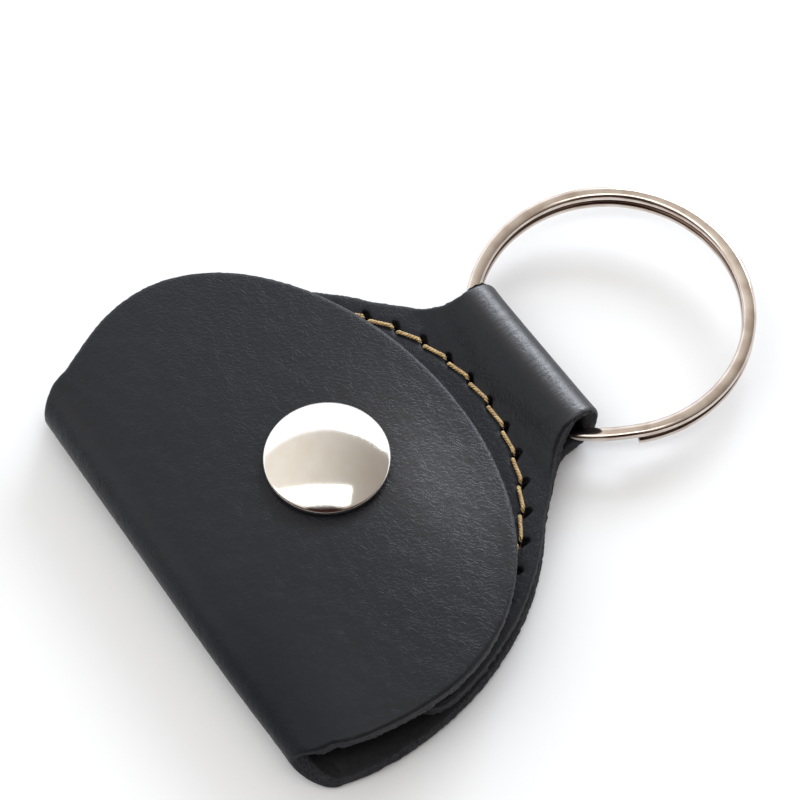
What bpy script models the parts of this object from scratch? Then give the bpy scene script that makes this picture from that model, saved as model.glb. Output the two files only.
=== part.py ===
"""Pick holder: a leather pouch folded from one strip, with a press snap and a split key ring.

Metres, +Z up. The holder lies on its back panel at z = 0, with the front flap closed. +Y runs from
the pouch's bottom fold towards the key ring, and X runs along the fold. The origin is on the
underside of the back panel, at the centre of the stitched arc.
"""
import math

import bmesh
import bpy
from mathutils import Matrix, Vector

MM = 0.001

# Leather sheet and the heights of its layers.
LEATHER = 1.8 * MM
EDGE_CHAMFER = 0.25 * MM
LAYER_GAP = 0.3 * MM
SNAP_GAP = 2.2 * MM
POCKET_Z = LEATHER + LAYER_GAP
FLAP_Z = POCKET_Z + LEATHER + SNAP_GAP
CLOSED_HEIGHT = FLAP_Z + LEATHER

# Bottom fold: half a turn about the X axis through (FOLD_Y, FOLD_Z).
FOLD_Y = -10.9 * MM
FOLD_Z = CLOSED_HEIGHT / 2
FOLD_RADIUS = (CLOSED_HEIGHT - LEATHER) / 2
FOLD_WAIST = 22.7 * MM
HINGE_Y = -12.0 * MM
SEAM_GAP = 0.3 * MM

# Outline of the back and pocket panels: an ellipse, then a flared neck, then the ring tab.
PANEL_HALF_WIDTH = 27.1 * MM
PANEL_CENTRE_Y = -4.0 * MM
PANEL_RISE = 29.4 * MM
PANEL_DROP = 24.5 * MM
NECK_Y = 26.4 * MM
NECK_START_Y = 18.0 * MM
NECK_SOFTNESS = 1.2 * MM
NECK_SEAM_Y = 23.7 * MM
MOUTH_Y = -3.0 * MM
MOUTH_CORNER = 5.0 * MM
POCKET_INSET = 0.3 * MM

# Outline of the front flap: two half ellipses.
FLAP_HALF_WIDTH = 27.0 * MM
FLAP_CENTRE_Y = -1.0 * MM
FLAP_RISE = 20.3 * MM
FLAP_DROP = 22.3 * MM

# Tab folded round the ring.
TAB_HALF_WIDTH = 9.1 * MM
TAB_END_Y = 31.3 * MM
TAB_HEIGHT = 6.7 * MM
TAB_BEND = 1.9 * MM

# Stitching: needle holes along an arc about the origin.
STITCH_RADIUS = 22.95 * MM
STITCH_PITCH = 3.25 * MM
STITCH_HOLES = 22
HOLE_RADIUS = 0.6 * MM
THREAD_RADIUS = 0.2 * MM
THREAD_GAP = 0.05 * MM
THREAD_LEG = 0.28 * MM

# Press snap, on the centre line.
SNAP_Y = 4.8 * MM
POST_HOLE = 1.75 * MM
CAP_RADIUS = 6.1 * MM
FLANGE_RECESS_RADIUS = 4.6 * MM
FLANGE_RECESS_DEPTH = 0.45 * MM

# Split ring: two coils of one wire. The stiff tab holds its far side and its left side a little up.
RING_RADIUS = 14.92 * MM
RING_CENTRE = Vector((-0.3 * MM, 39.75 * MM, 3.55 * MM))
RING_PITCH = math.radians(2.7)
RING_ROLL = math.radians(1.4)
WIRE_WIDTH = 1.4 * MM
WIRE_HEIGHT = 1.1 * MM
COIL_GAP = 0.05 * MM
RING_CLEARANCE = 0.2 * MM
WIRE_START = -25.0
WIRE_JOG = 35.0
RING_HALF_HEIGHT = WIRE_HEIGHT + COIL_GAP / 2
SWING_Y = 24.2 * MM
SWING_Z = 3.0 * MM


# Materials.

def material(name, colour, roughness, metallic):
    """Make one Principled material."""
    made = bpy.data.materials.new(name)
    made.use_nodes = True
    shader = made.node_tree.nodes["Principled BSDF"]
    shader.inputs["Base Color"].default_value = (*colour, 1.0)
    shader.inputs["Roughness"].default_value = roughness
    shader.inputs["Metallic"].default_value = metallic
    return made


# Mesh helpers.

def finish(mesh, name, surface, smooth=False):
    """Turn a bmesh into a named object that faces out, and return it."""
    bmesh.ops.recalc_face_normals(mesh, faces=mesh.faces)
    data = bpy.data.meshes.new(name)
    mesh.to_mesh(data)
    mesh.free()
    if smooth:
        for face in data.polygons:
            face.use_smooth = True
    made = bpy.data.objects.new(name, data)
    bpy.context.collection.objects.link(made)
    if surface:
        made.data.materials.append(surface)
    return made


def bridge(mesh, first, second):
    """Join two rings of vertices of the same length with quads."""
    count = len(first)
    for i in range(count):
        j = (i + 1) % count
        mesh.faces.new((first[i], first[j], second[j], second[i]))


def sheet(name, stations, surface):
    """Build a leather sheet from (y, z, lean, half width) stations along its middle surface.

    The lean is the angle of the sheet's direction above the Y axis.
    """
    mesh = bmesh.new()
    half = LEATHER / 2
    cut = EDGE_CHAMFER
    rings = []
    for y, z, lean, width in stations:
        outline = [
            (-width + cut, -half), (width - cut, -half), (width, -half + cut), (width, half - cut),
            (width - cut, half), (-width + cut, half), (-width, half - cut), (-width, -half + cut),
        ]
        rings.append([
            mesh.verts.new((x, y - up * math.sin(lean), z + up * math.cos(lean)))
            for x, up in outline
        ])
    for first, second in zip(rings, rings[1:]):
        bridge(mesh, first, second)
    mesh.faces.new(rings[0])
    mesh.faces.new(rings[-1])
    return finish(mesh, name, surface)


def lathe(name, profile, surface, centre, turns=40):
    """Spin a profile of (radius, z) points about a vertical axis; radius 0 makes a pole."""
    mesh = bmesh.new()
    angles = [2 * math.pi * i / turns for i in range(turns)]
    rings = []
    for radius, z in profile:
        if radius == 0:
            rings.append([mesh.verts.new((0, 0, z))])
        else:
            rings.append([mesh.verts.new((radius * math.cos(a), radius * math.sin(a), z)) for a in angles])
    pairs = list(zip(rings, rings[1:]))
    if len(rings[0]) > 1:
        pairs.append((rings[-1], rings[0]))
    for first, second in pairs:
        if len(first) == 1 or len(second) == 1:
            pole, rim = (first, second) if len(first) == 1 else (second, first)
            for i in range(turns):
                mesh.faces.new((pole[0], rim[i], rim[(i + 1) % turns]))
        else:
            bridge(mesh, first, second)
    bmesh.ops.translate(mesh, verts=mesh.verts, vec=centre)
    return finish(mesh, name, surface, smooth=True)


def sweep(name, path, across, along_z, sides, surface, closed=False):
    """Sweep an elliptical section of the two given half sizes along a path of points."""
    mesh = bmesh.new()
    rings = []
    count = len(path)
    side = None
    for i, point in enumerate(path):
        before = path[i - 1] if closed or i else point
        after = path[(i + 1) % count] if closed or i < count - 1 else point
        forward = (after - before).normalized()
        if side is None:
            side = forward.cross(Vector((0, 0, 1))).normalized()
        else:
            side = (side - forward * side.dot(forward)).normalized()
        top = side.cross(forward)
        ring = []
        for k in range(sides):
            angle = 2 * math.pi * k / sides
            ring.append(mesh.verts.new(point + side * across * math.cos(angle) + top * along_z * math.sin(angle)))
        rings.append(ring)
    for first, second in zip(rings, rings[1:]):
        bridge(mesh, first, second)
    if closed:
        bridge(mesh, rings[-1], rings[0])
    else:
        mesh.faces.new(rings[0])
        mesh.faces.new(rings[-1])
    return finish(mesh, name, surface, smooth=True)


def cut_away(target, cutter):
    """Subtract the cutter from the target and remove the cutter."""
    cutter.hide_render = True
    cutter.display_type = "WIRE"
    tool = target.modifiers.new("cut", "BOOLEAN")
    tool.operation = "DIFFERENCE"
    tool.solver = "EXACT"
    tool.object = cutter
    graph = bpy.context.evaluated_depsgraph_get()
    result = bpy.data.meshes.new_from_object(target.evaluated_get(graph))
    target.modifiers.clear()
    target.data = result
    bpy.data.objects.remove(cutter)


def drill(target, radius, low, high, centres, turns=16):
    """Cut vertical round holes through the target at the given (x, y) centres."""
    mesh = bmesh.new()
    for x, y in centres:
        place = Matrix.Translation((x, y, (low + high) / 2))
        bmesh.ops.create_cone(
            mesh, cap_ends=True, segments=turns, radius1=radius, radius2=radius, depth=high - low, matrix=place)
    cut_away(target, finish(mesh, "cutter", None))


def put_origin(piece, y, z):
    """Move the piece's origin onto a joint axis without moving its shape."""
    pivot = Vector((0, y, z))
    piece.data.transform(Matrix.Translation(-pivot))
    piece.location = pivot


# Outlines of the leather.

def ellipse_width(y, half_width, centre, rise, drop):
    """Half width at y of an egg made of two half ellipses."""
    reach = rise if y > centre else drop
    part = min(1.0, abs(y - centre) / reach)
    return half_width * math.sqrt(1 - part * part)


def neck_width(y):
    """Half width of the neck, which flares smoothly out of the straight tab."""
    below = NECK_Y - y
    return TAB_HALF_WIDTH + (below + math.hypot(below, NECK_SOFTNESS)) / 2


def panel_width(y):
    """Half width of the back panel."""
    body = ellipse_width(y, PANEL_HALF_WIDTH, PANEL_CENTRE_Y, PANEL_RISE, PANEL_DROP)
    return max(body, neck_width(y)) if y > NECK_START_Y else body


def flap_width(y):
    """Half width of the front flap."""
    return ellipse_width(y, FLAP_HALF_WIDTH, FLAP_CENTRE_Y, FLAP_RISE, FLAP_DROP)


def steps(first, last, count):
    """Evenly spaced values from first to last, both included."""
    return [first + (last - first) * i / count for i in range(count + 1)]


# Leather pieces.

def back_panel(surface):
    middle = LEATHER / 2
    start = FOLD_Y + SEAM_GAP / 2
    stations = [(y, middle, 0.0, panel_width(y)) for y in steps(start, NECK_SEAM_Y, 60)]
    return sheet("back_panel", stations, surface)


def fold_spine(surface):
    """Bottom fold, from the back panel round to the front flap, narrowest at its middle."""
    turn_gap = SEAM_GAP / 2 / FOLD_RADIUS
    stations = []
    for turn in steps(-math.pi / 2 + turn_gap, math.pi / 2 - turn_gap, 24):
        end = panel_width(FOLD_Y) if turn < 0 else flap_width(FOLD_Y)
        width = FOLD_WAIST + (end - FOLD_WAIST) * math.sin(turn) ** 2
        y = FOLD_Y - FOLD_RADIUS * math.cos(turn)
        z = FOLD_Z + FOLD_RADIUS * math.sin(turn)
        stations.append((y, z, math.pi / 2 - turn, width))
    return sheet("fold_spine", stations, surface)


def front_flap(surface):
    middle = FLAP_Z + LEATHER / 2
    start = FOLD_Y + SEAM_GAP / 2
    low = [(y, middle, 0.0, flap_width(y)) for y in steps(start, FLAP_CENTRE_Y, 14)]
    turns = steps(0.0, math.radians(87), 40)[1:]
    high = [
        (FLAP_CENTRE_Y + FLAP_RISE * math.sin(turn), middle, 0.0, FLAP_HALF_WIDTH * math.cos(turn))
        for turn in turns
    ]
    flap = sheet("front_flap", low + high, surface)
    drill(flap, POST_HOLE, FLAP_Z - LEATHER, FLAP_Z + 2 * LEATHER, [(0, SNAP_Y)], turns=32)
    return flap


def pocket_panel(surface):
    """Inner layer of the pocket, open towards the bottom fold."""
    middle = POCKET_Z + LEATHER / 2
    corner = []
    for turn in steps(0.0, math.pi / 2, 10)[:-1]:
        y = MOUTH_Y + MOUTH_CORNER * (1 - math.cos(turn))
        inset = MOUTH_CORNER * (1 - math.sin(turn))
        corner.append((y, middle, 0.0, panel_width(y) - POCKET_INSET - inset))
    rest = [
        (y, middle, 0.0, panel_width(y) - POCKET_INSET)
        for y in steps(MOUTH_Y + MOUTH_CORNER, NECK_SEAM_Y, 50)
    ]
    panel = sheet("pocket_panel", corner + rest, surface)
    drill(panel, POST_HOLE, 0, CLOSED_HEIGHT, [(0, SNAP_Y)], turns=32)
    drill(panel, FLANGE_RECESS_RADIUS, 0, POCKET_Z + FLANGE_RECESS_DEPTH, [(0, SNAP_Y)], turns=48)
    return panel


def ring_loop(surface):
    """Tab folded round the key ring, from the back panel's neck round to the pocket panel's."""
    start = NECK_SEAM_Y + SEAM_GAP
    low = LEATHER / 2
    high = TAB_HEIGHT - LEATHER / 2
    bend_y = TAB_END_Y - LEATHER / 2 - TAB_BEND
    join = POCKET_Z + LEATHER / 2
    stations = [(y, low, 0.0, neck_width(y)) for y in steps(start, bend_y, 8)]
    for turn in steps(-math.pi / 2, 0.0, 8)[1:]:
        y = bend_y + TAB_BEND * math.cos(turn)
        z = low + TAB_BEND + TAB_BEND * math.sin(turn)
        stations.append((y, z, turn + math.pi / 2, neck_width(y)))
    for turn in steps(0.0, math.pi / 2, 8):
        y = bend_y + TAB_BEND * math.cos(turn)
        z = high - TAB_BEND + TAB_BEND * math.sin(turn)
        stations.append((y, z, turn + math.pi / 2, neck_width(y)))
    run = bend_y - start
    rise = high - join
    for part in steps(1.0, 0.0, 12)[1:]:
        y = start + run * part
        z = join + rise * math.sin(math.pi / 2 * part)
        slope = rise / run * math.pi / 2 * math.cos(math.pi / 2 * part)
        lean = math.atan(slope) if part else 0.0
        stations.append((y, z, math.pi + lean, neck_width(y)))
    loop = sheet("ring_loop", stations, surface)
    cut_away(loop, ring_seat())
    return loop


def ring_seat():
    """Channel that the ring presses into the tab: the ring's outline with clearance."""
    inner = RING_RADIUS - WIRE_WIDTH - RING_CLEARANCE
    outer = RING_RADIUS + RING_CLEARANCE
    half = RING_HALF_HEIGHT + RING_CLEARANCE
    corner = WIRE_WIDTH / 4
    profile = [
        (inner, -half + corner), (inner + corner, -half), (outer - corner, -half), (outer, -half + corner),
        (outer, half - corner), (outer - corner, half), (inner + corner, half), (inner, half - corner),
    ]
    seat = lathe("cutter", profile, None, (0, 0, 0), turns=96)
    seat.data.transform(ring_place())
    return seat


# Stitching.

def hole_angles():
    """Angle of each needle hole round the stitched arc."""
    pitch = STITCH_PITCH / STITCH_RADIUS
    first = math.pi / 2 - pitch * (STITCH_HOLES - 1) / 2
    return [first + pitch * i for i in range(STITCH_HOLES)]


def on_arc(angle, z):
    return Vector((STITCH_RADIUS * math.cos(angle), STITCH_RADIUS * math.sin(angle), z))


def pierce(panels):
    """Cut the needle holes through both sewn layers."""
    centres = [on_arc(angle, 0).to_2d() for angle in hole_angles()]
    for panel in panels:
        drill(panel, HOLE_RADIUS, -LEATHER, CLOSED_HEIGHT, centres, turns=12)


def thread_groove(panel):
    """Groove in the underside of the back panel, so that the lower thread lies flush."""
    reach = HOLE_RADIUS / STITCH_RADIUS
    angles = hole_angles()
    depth = 2 * THREAD_RADIUS + 2 * THREAD_GAP
    path = [on_arc(angle, 0) for angle in steps(angles[0] - reach, angles[-1] + reach, 84)]
    cut_away(panel, sweep("cutter", path, HOLE_RADIUS / 2, depth, 8, None))


def thread(name, run_z, turn_z, surface):
    """One thread of the lockstitch: it runs at run_z and turns back at turn_z in each hole."""
    leg = THREAD_LEG / STITCH_RADIUS
    toward = math.copysign(1, run_z - turn_z)
    corner = THREAD_RADIUS
    bend = corner / STITCH_RADIUS
    path = []
    for angle in hole_angles():
        path.append(on_arc(angle - leg - bend, run_z))
        path.append(on_arc(angle - leg, run_z - toward * corner))
        path.append(on_arc(angle - leg, turn_z + toward * corner))
        path.append(on_arc(angle, turn_z))
        path.append(on_arc(angle + leg, turn_z + toward * corner))
        path.append(on_arc(angle + leg, run_z - toward * corner))
        path.append(on_arc(angle + leg + bend, run_z))
    return sweep(name, path, THREAD_RADIUS, THREAD_RADIUS, 6, surface)


def stitching(surface):
    """Needle thread above and bobbin thread below, meeting between the two layers."""
    meeting = LEATHER + LAYER_GAP / 2
    apart = THREAD_RADIUS + THREAD_GAP
    above = POCKET_Z + LEATHER + apart
    thread("needle_thread", above, meeting + apart, surface)
    thread("bobbin_thread", apart, meeting - apart, surface)


# Press snap. Radii and heights are the real piece's own, in millimetres.

def snap_piece(name, profile, surface):
    points = [(radius * MM, z) for radius, z in profile]
    return lathe(name, points, surface, (0, SNAP_Y, 0))


def snap_eyelet(surface):
    """Tubular rivet that holds the stud: a flange below the pocket panel and a rolled lip above."""
    low = POCKET_Z + 0.05 * MM
    lip = POCKET_Z + LEATHER + 1.3 * MM
    profile = [
        (1.25, low), (4.4, low), (4.4, low + 0.3 * MM), (1.6, low + 0.3 * MM), (1.6, lip - 0.2 * MM),
        (1.9, lip - 0.15 * MM), (1.95, lip), (1.7, lip + 0.1 * MM), (1.25, lip),
    ]
    return snap_piece("snap_eyelet", profile, surface)


def snap_stud(surface):
    """Male half: a flange on the pocket panel and a necked head."""
    low = POCKET_Z + LEATHER + 0.05 * MM
    profile = [
        (1.72, low), (4.5, low), (4.6, low + 0.1 * MM), (4.5, low + 0.25 * MM), (2.35, low + 0.25 * MM),
        (2.35, low + 0.95 * MM), (2.7, low + 1.08 * MM), (2.8, low + 1.2 * MM), (2.7, low + 1.35 * MM),
        (2.4, low + 1.5 * MM), (2.1, low + 1.5 * MM), (2.1, low + 0.95 * MM), (1.72, low + 0.9 * MM),
    ]
    return snap_piece("snap_stud", profile, surface)


def snap_socket(surface):
    """Female half, under the flap: a cup with a narrow mouth."""
    top = FLAP_Z - 0.05 * MM
    low = POCKET_Z + LEATHER + 0.35 * MM
    profile = [
        (1.8, top), (5.0, top), (5.2, top - 0.2 * MM), (5.2, low + 0.2 * MM), (5.0, low), (2.95, low),
        (2.95, low + 0.15 * MM), (3.25, low + 0.17 * MM), (3.25, top - 0.2 * MM), (1.8, top - 0.2 * MM),
    ]
    return snap_piece("snap_socket", profile, surface)


def snap_spring(surface):
    """Open ring of spring wire in the socket, round the stud's neck."""
    radius = 2.75 * MM
    wire = 0.24 * MM
    height = POCKET_Z + LEATHER + 0.78 * MM
    path = []
    for angle in steps(math.radians(15), math.radians(345), 44):
        path.append(Vector((radius * math.cos(angle), SNAP_Y + radius * math.sin(angle), height)))
    return sweep("snap_spring", path, wire, wire, 8, surface)


def snap_cap_post(surface):
    """Tubular rivet of the cap: a flange on the flap and a lip rolled inside the socket."""
    top = CLOSED_HEIGHT + 0.35 * MM
    lip = FLAP_Z - 0.4 * MM
    profile = [
        (1.2, top), (4.9, top), (4.9, top - 0.25 * MM), (1.6, top - 0.25 * MM), (1.6, lip + 0.13 * MM),
        (2.1, lip + 0.1 * MM), (2.2, lip), (1.9, lip - 0.12 * MM), (1.2, lip - 0.05 * MM),
    ]
    return snap_piece("snap_cap_post", profile, surface)


def snap_cap_shell(surface):
    """Polished dome crimped over the cap post's flange."""
    low = CLOSED_HEIGHT + 0.05 * MM
    rim = low + 0.3 * MM
    dome = 2.1 * MM
    skin = 0.3 * MM
    sphere = (CAP_RADIUS ** 2 + dome ** 2) / (2 * dome)
    reach = math.asin(CAP_RADIUS / sphere)
    inner_reach = math.asin((CAP_RADIUS - 1.5 * skin) / (sphere - skin))
    centre = rim + dome - sphere
    outer = [(sphere * math.sin(a), centre + sphere * math.cos(a)) for a in steps(0.0, reach, 8)]
    inner = [
        ((sphere - skin) * math.sin(a), centre + (sphere - skin) * math.cos(a))
        for a in steps(inner_reach, 0.0, 8)
    ]
    lip = [(CAP_RADIUS, low + 0.12 * MM), (CAP_RADIUS - 0.12 * MM, low), (5.1 * MM, low), (5.1 * MM, low + 0.1 * MM)]
    profile = [(0, outer[0][1])] + outer[1:] + lip + inner[:-1] + [(0, inner[-1][1])]
    return lathe("snap_cap_shell", profile, surface, (0, SNAP_Y, 0), turns=48)


# Split ring.

def ring_place():
    """Placement of the ring's own frame: level, then rolled and pitched, with its near side in the tab."""
    tilt = Matrix.Rotation(RING_PITCH, 4, "X") @ Matrix.Rotation(RING_ROLL, 4, "Y")
    return Matrix.Translation(RING_CENTRE) @ tilt


def split_ring(surface):
    """One wire wound twice: lower coil, short climb, upper coil."""
    climb_start = WIRE_START + 360 - WIRE_JOG
    end = WIRE_START + 720 - WIRE_JOG
    radius = RING_RADIUS - WIRE_WIDTH / 2
    half_pitch = (WIRE_HEIGHT + COIL_GAP) / 2
    path = []
    for degrees in steps(WIRE_START, end, 110):
        part = min(1.0, max(0.0, (degrees - climb_start) / WIRE_JOG))
        level = half_pitch * (2 * part * part * (3 - 2 * part) - 1)
        angle = math.radians(degrees)
        path.append(Vector((radius * math.cos(angle), radius * math.sin(angle), level)))
    ring = sweep("split_ring", path, WIRE_WIDTH / 2, WIRE_HEIGHT / 2, 10, surface)
    ring.data.transform(ring_place())
    return ring


def build():
    for leftover in list(bpy.data.objects):
        bpy.data.objects.remove(leftover)

    leather = material("black_leather", (0.032, 0.032, 0.036), 0.55, 0.0)
    thread_tan = material("tan_thread", (0.55, 0.34, 0.11), 0.6, 0.0)
    nickel = material("polished_nickel", (0.74, 0.70, 0.66), 0.18, 1.0)
    ring_nickel = material("ring_nickel", (0.70, 0.62, 0.56), 0.22, 1.0)
    spring_steel = material("spring_steel", (0.55, 0.54, 0.52), 0.3, 1.0)

    back = back_panel(leather)
    pocket = pocket_panel(leather)
    pierce([back, pocket])
    thread_groove(back)
    fold_spine(leather)
    ring_loop(leather)
    stitching(thread_tan)
    snap_stud(nickel)
    snap_eyelet(nickel)

    flap_pieces = [
        front_flap(leather), snap_cap_shell(nickel), snap_cap_post(nickel), snap_socket(nickel),
        snap_spring(spring_steel),
    ]
    for piece in flap_pieces:
        put_origin(piece, HINGE_Y, FOLD_Z)
    put_origin(split_ring(ring_nickel), SWING_Y, SWING_Z)


build()
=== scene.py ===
"""Looks of the pick holder: leather, stitching, press snap and key ring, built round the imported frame.

Metres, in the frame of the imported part: the holder lies on its back at z = 0, +Y runs from the bottom
fold towards the key ring, and X runs along the fold.
"""
import math
from itertools import accumulate

import bmesh
import bpy
import numpy as np
from mathutils import Matrix, Vector, kdtree, noise
from mathutils.geometry import delaunay_2d_cdt


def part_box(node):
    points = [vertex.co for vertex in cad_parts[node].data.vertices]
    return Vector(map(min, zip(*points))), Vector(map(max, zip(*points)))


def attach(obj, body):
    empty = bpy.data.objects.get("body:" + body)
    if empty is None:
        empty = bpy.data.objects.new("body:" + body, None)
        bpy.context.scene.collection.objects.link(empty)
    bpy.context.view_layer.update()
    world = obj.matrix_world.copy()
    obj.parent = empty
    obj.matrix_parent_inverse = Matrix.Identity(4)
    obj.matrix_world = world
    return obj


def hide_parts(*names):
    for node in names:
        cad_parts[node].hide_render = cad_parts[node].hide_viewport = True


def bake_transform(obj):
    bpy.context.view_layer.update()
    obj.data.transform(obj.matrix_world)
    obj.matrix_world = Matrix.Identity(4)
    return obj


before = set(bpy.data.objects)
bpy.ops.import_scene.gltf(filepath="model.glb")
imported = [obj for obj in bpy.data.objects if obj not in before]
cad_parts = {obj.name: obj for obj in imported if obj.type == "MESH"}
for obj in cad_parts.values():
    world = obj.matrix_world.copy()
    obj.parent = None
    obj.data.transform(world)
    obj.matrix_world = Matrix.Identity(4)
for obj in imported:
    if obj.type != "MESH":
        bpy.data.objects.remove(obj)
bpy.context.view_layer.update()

MM = 0.001

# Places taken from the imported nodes.
BACK_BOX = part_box("back_panel")
POCKET_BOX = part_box("pocket_panel")
FLAP_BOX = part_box("front_flap")
FOLD_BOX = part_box("fold_spine")
TAB_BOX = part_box("ring_loop")
CAP_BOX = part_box("snap_cap_shell")
RING_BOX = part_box("split_ring")

LEATHER = BACK_BOX[1].z - BACK_BOX[0].z
HALF = LEATHER / 2
POCKET_MID = (POCKET_BOX[0].z + POCKET_BOX[1].z) / 2
POCKET_TOP = POCKET_BOX[1].z
FLAP_MID = (FLAP_BOX[0].z + FLAP_BOX[1].z) / 2
FOLD_Z = (FOLD_BOX[0].z + FOLD_BOX[1].z) / 2
FOLD_RADIUS = FOLD_Z - HALF
FOLD_Y = FOLD_BOX[0].y + FOLD_RADIUS + HALF
TAB_END_Y = TAB_BOX[1].y
TAB_TOP_MID = TAB_BOX[1].z - HALF
SNAP = Vector((0, (CAP_BOX[0].y + CAP_BOX[1].y) / 2, 0))
CAP_RADIUS = (CAP_BOX[1].x - CAP_BOX[0].x) / 2

# Cut outline of the leather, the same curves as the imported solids.
PANEL_HALF_WIDTH = 27.1 * MM
PANEL_CENTRE_Y = -4.0 * MM
PANEL_RISE = 29.4 * MM
PANEL_DROP = 24.5 * MM
NECK_Y = 26.4 * MM
NECK_START_Y = 18.0 * MM
NECK_SOFTNESS = 1.2 * MM
TAB_HALF_WIDTH = 9.1 * MM
TAB_BEND = 1.9 * MM
TAB_BEND_Y = TAB_END_Y - HALF - TAB_BEND
TAB_RAMP_Y = 22.9 * MM
MOUTH_Y = -3.0 * MM
MOUTH_CORNER = 5.0 * MM
POCKET_INSET = 0.3 * MM
FLAP_HALF_WIDTH = 27.0 * MM
FLAP_CENTRE_Y = -1.0 * MM
FLAP_RISE = 20.3 * MM
FLAP_DROP = 22.3 * MM
FOLD_WAIST = 22.6 * MM
FOLD_SKEW = 0.5 * MM
FOLD_SKEW_REACH = 9 * MM
POST_HOLE = 3.5 * MM
EYELET_SEAT = 4.7 * MM
PATH_SPACING = 0.1 * MM
RIM_SPACING = 0.27 * MM
SEAM_SPACING = 1.2 * MM
FILL_SPACING = 0.4 * MM
SEAM_BOW = 0.003 * MM

# Stitching.
STITCH_RADIUS = 22.95 * MM
STITCH_PITCH = 3.25 * MM
STITCH_HOLES = 22
SLIT_LENGTH = 1.30 * MM
SLIT_WIDTH = 0.42 * MM
SLIT_SHIFT = 0.40 * MM
SEWN_Y = -1 * MM
THREAD_PLY = 0.11 * MM
THREAD_PLIES = 3
THREAD_SIDES = 7
THREAD_TWIST = 1.0 * MM
# The thread's way into a hole and out of it, in millimetres: along the line, outward and down.
THREAD_DIVE = ((-0.62, -0.12, 0), (-0.46, -0.12, 0.08), (-0.36, -0.10, 0.40), (-0.28, -0.06, 1.00))
THREAD_RISE = ((0.28, 0.12, 1.00), (0.36, 0.15, 0.40), (0.46, 0.17, 0.08), (0.62, 0.17, 0))

# Key ring.
RING_RADIUS = (RING_BOX[1].x - RING_BOX[0].x) / 2
RING_CENTRE = (RING_BOX[0] + RING_BOX[1]) / 2
RING_PITCH = math.radians(2.7)
RING_ROLL = math.radians(1.4)
WIRE_WIDTH = 1.4 * MM
WIRE_HEIGHT = 1.1 * MM
COIL_GAP = 0.22 * MM
WIRE_START = -25.0  # degrees from +X
WIRE_JOG = 35.0  # degrees over which the wire climbs from one coil to the other
WIRE_SIDES = 28

# Snap cap, in millimetres: how far it stands past its solid, the radius of its rolled rim, its thickness
# and the radius of its open underside.
CAP_EXTRA_RADIUS = 0.17
CAP_ROLL = 0.42
CAP_SKIN = 0.3
CAP_MOUTH = 5.1
LATHE_TURNS = 128

# Camera: a long lens over the lower right of the holder.
LENS = 112.5
SENSOR = 36.0
CAMERA_AZIMUTH = math.radians(55.76)
CAMERA_ELEVATION = math.radians(58.86)
CAMERA_DISTANCE = 252.5 * MM
CAMERA_TARGET = Vector((-4.10 * MM, 16.19 * MM, 3.0 * MM))


# Shader nodes.

def feed(tree, socket, value):
    """Link a node's output to a socket, or set the socket to a plain value."""
    if isinstance(value, bpy.types.NodeSocket):
        tree.links.new(value, socket)
    else:
        socket.default_value = value


def smooth_span(tree, value, low, high, to_low=0.0, to_high=1.0):
    """The value's place between low and high, softened, carried to the new range."""
    made = tree.nodes.new("ShaderNodeMapRange")
    made.interpolation_type = "SMOOTHSTEP"
    for name, number in (("From Min", low), ("From Max", high), ("To Min", to_low), ("To Max", to_high)):
        made.inputs[name].default_value = number
    feed(tree, made.inputs["Value"], value)
    return made.outputs["Result"]


def mix_colours(tree, factor, first, second):
    """Mix of two colours, the first at factor 0 and the second at 1."""
    made = tree.nodes.new("ShaderNodeMix")
    made.data_type = "RGBA"
    feed(tree, made.inputs[0], factor)
    feed(tree, made.inputs[6], first)
    feed(tree, made.inputs[7], second)
    return made.outputs[2]


# Camera, floor and light.

def from_camera_side(right, up, height):
    """A point given by distances to the picture's right and top over the table, and a height."""
    level_right = Vector((math.cos(CAMERA_AZIMUTH), math.sin(CAMERA_AZIMUTH), 0))
    level_up = Vector((-math.sin(CAMERA_AZIMUTH), math.cos(CAMERA_AZIMUTH), 0))
    return level_right * right + level_up * up + Vector((0, 0, height))


def add_camera():
    data = bpy.data.cameras.new("camera")
    data.sensor_width = SENSOR
    data.lens = LENS
    data.clip_start = 10 * MM
    camera = bpy.data.objects.new("camera", data)
    bpy.context.scene.collection.objects.link(camera)
    back = from_camera_side(0, -math.cos(CAMERA_ELEVATION), math.sin(CAMERA_ELEVATION))
    right = from_camera_side(1, 0, 0)
    axes = Matrix((right, back.cross(right), back)).transposed().to_4x4()
    camera.matrix_world = Matrix.Translation(CAMERA_TARGET + back * CAMERA_DISTANCE) @ axes
    bpy.context.scene.camera = camera


def add_softbox(name, place, width, height, radiance, colour, target):
    """Rectangular lamp of the given radiance, aimed at the target."""
    data = bpy.data.lights.new(name, "AREA")
    data.shape = "RECTANGLE"
    data.size = width
    data.size_y = height
    data.energy = radiance * math.pi * width * height
    data.color = colour
    lamp = bpy.data.objects.new(name, data)
    bpy.context.scene.collection.objects.link(lamp)
    away = (place - target).normalized()
    upward = away.cross(from_camera_side(1, 0, 0)).normalized()
    axes = Matrix((upward.cross(away), upward, away)).transposed().to_4x4()
    lamp.matrix_world = Matrix.Translation(place) @ axes


def add_lights():
    """A window at the back right, and a long light bank overhead to the front left."""
    window = from_camera_side(0.26, 0.48, 0.27)
    holder = Vector((0, 10 * MM, 0))
    add_softbox("back_right_window", window, 0.40, 0.18, 9.0, (0.92, 0.96, 1.0), holder)
    bank = from_camera_side(-0.49, -0.19, 0.62)
    below_bank = bank - Vector((0, 0, 1))
    add_softbox("overhead_bank", bank, 1.50, 0.23, 2.2, (1.0, 1.0, 0.99), below_bank)


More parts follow.
